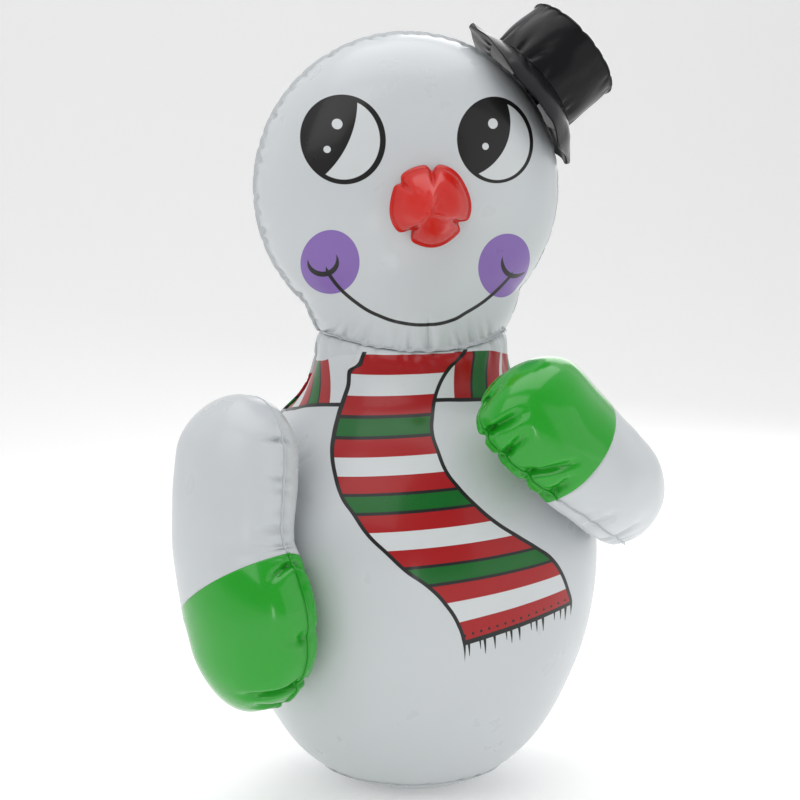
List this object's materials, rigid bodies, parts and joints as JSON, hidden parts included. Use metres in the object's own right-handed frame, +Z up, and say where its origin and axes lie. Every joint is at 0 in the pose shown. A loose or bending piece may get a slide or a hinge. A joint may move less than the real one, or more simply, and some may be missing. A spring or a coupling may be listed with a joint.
{
  "type": "inflatable yard snowman",
  "caption": "Inflatable snowman of heat-welded vinyl film panels, with hugging arms, a tilted top hat, filler valves and a water-ballasted base",
  "frame": {"origin": "centre of the flat patch under the base panel, where the snowman stands on the ground", "axes": "+Z up; the face looks along -Y; the hat and the raised left arm are on the +X side, the hanging right arm on the -X side"},
  "size_m": [0.5317, 0.4333, 0.8369],
  "materials": {
    "white_vinyl": "gloss",
    "green_vinyl": "gloss",
    "red_vinyl": "gloss",
    "black_vinyl": "gloss",
    "clear_vinyl": "gloss",
    "water": "clear liquid"
  },
  "bodies": {
    "shell": {"body_front_panel": "white_vinyl", "body_back_panel": "white_vinyl", "base_panel": "white_vinyl", "ballast_diaphragm": "clear_vinyl", "ballast_water": "water", "head_front_panel": "white_vinyl", "head_back_panel": "white_vinyl", "nose_cone": "red_vinyl", "right_shoulder_weld": "white_vinyl", "left_shoulder_weld": "white_vinyl", "hat_weld_tab": "black_vinyl", "main_valve_flange": "clear_vinyl", "ballast_valve_flange": "clear_vinyl"},
    "hat": {"hat_crown_wall": "black_vinyl", "hat_crown_top": "black_vinyl", "hat_bottom_panel": "black_vinyl", "hat_brim": "black_vinyl"},
    "right_arm": {"right_sleeve_outer": "white_vinyl", "right_sleeve_inner": "white_vinyl", "right_mitten_outer": "green_vinyl", "right_mitten_inner": "green_vinyl"},
    "left_arm": {"left_sleeve_outer": "white_vinyl", "left_sleeve_inner": "white_vinyl", "left_mitten_outer": "green_vinyl", "left_mitten_inner": "green_vinyl"},
    "main_valve": {"main_valve_stem": "clear_vinyl", "main_valve_tether": "clear_vinyl"},
    "main_valve_flap_body": {"main_valve_flap": "clear_vinyl"},
    "main_valve_plug_body": {"main_valve_plug": "clear_vinyl"},
    "ballast_valve": {"ballast_valve_stem": "clear_vinyl", "ballast_valve_tether": "clear_vinyl"},
    "ballast_valve_flap_body": {"ballast_valve_flap": "clear_vinyl"},
    "ballast_valve_plug_body": {"ballast_valve_plug": "clear_vinyl"}
  },
  "joints": [
    {"name": "hat_rock", "type": "hinge", "parent": "shell", "child": "hat", "pos_m": [0.12478, 0, 0.7501], "axis": [-0.6293, 0, 0.7771], "range_deg": [-12, 9], "stiffness_Nm_per_rad": 0.25, "deforming": ["hat_weld_tab"]},
    {"name": "right_arm_swing", "type": "hinge", "parent": "shell", "child": "right_arm", "pos_m": [-0.15593, -0.08291, 0.35697], "axis": [-0.4695, 0.8829, 0], "range_deg": [0, 9], "stiffness_Nm_per_rad": 0.6, "deforming": ["right_shoulder_weld"]},
    {"name": "left_arm_swing", "type": "hinge", "parent": "shell", "child": "left_arm", "pos_m": [0.17032, -0.07583, 0.33678], "axis": [0, 0, -1], "range_deg": [0, 9], "stiffness_Nm_per_rad": 0.6, "deforming": ["left_shoulder_weld"]},
    {"name": "main_valve_push_in", "type": "slide", "parent": "shell", "child": "main_valve", "axis": [0, -0.9534, 0.3017], "range_m": [0, 0.0052]},
    {"name": "main_valve_flap_open", "type": "hinge", "parent": "main_valve", "child": "main_valve_flap_body", "pos_m": [0, 0.16951, 0.1498], "axis": [1, 0, 0], "range_deg": [0, 70], "stiffness_Nm_per_rad": 0.0004},
    {"name": "main_valve_plug_pull", "type": "slide", "parent": "main_valve", "child": "main_valve_plug_body", "axis": [0, 0.9534, -0.3017], "range_m": [0, 0.016], "deforming": ["main_valve_tether"]},
    {"name": "ballast_valve_push_in", "type": "slide", "parent": "shell", "child": "ballast_valve", "axis": [0, -0.7283, 0.6852], "range_m": [0, 0.0052]},
    {"name": "ballast_valve_flap_open", "type": "hinge", "parent": "ballast_valve", "child": "ballast_valve_flap_body", "pos_m": [0, 0.11295, 0.04844], "axis": [1, 0, 0], "range_deg": [0, 70], "stiffness_Nm_per_rad": 0.0004},
    {"name": "ballast_valve_plug_pull", "type": "slide", "parent": "ballast_valve", "child": "ballast_valve_plug_body", "axis": [0, 0.7283, -0.6852], "range_m": [0, 0.016], "deforming": ["ballast_valve_tether"]}
  ]
}
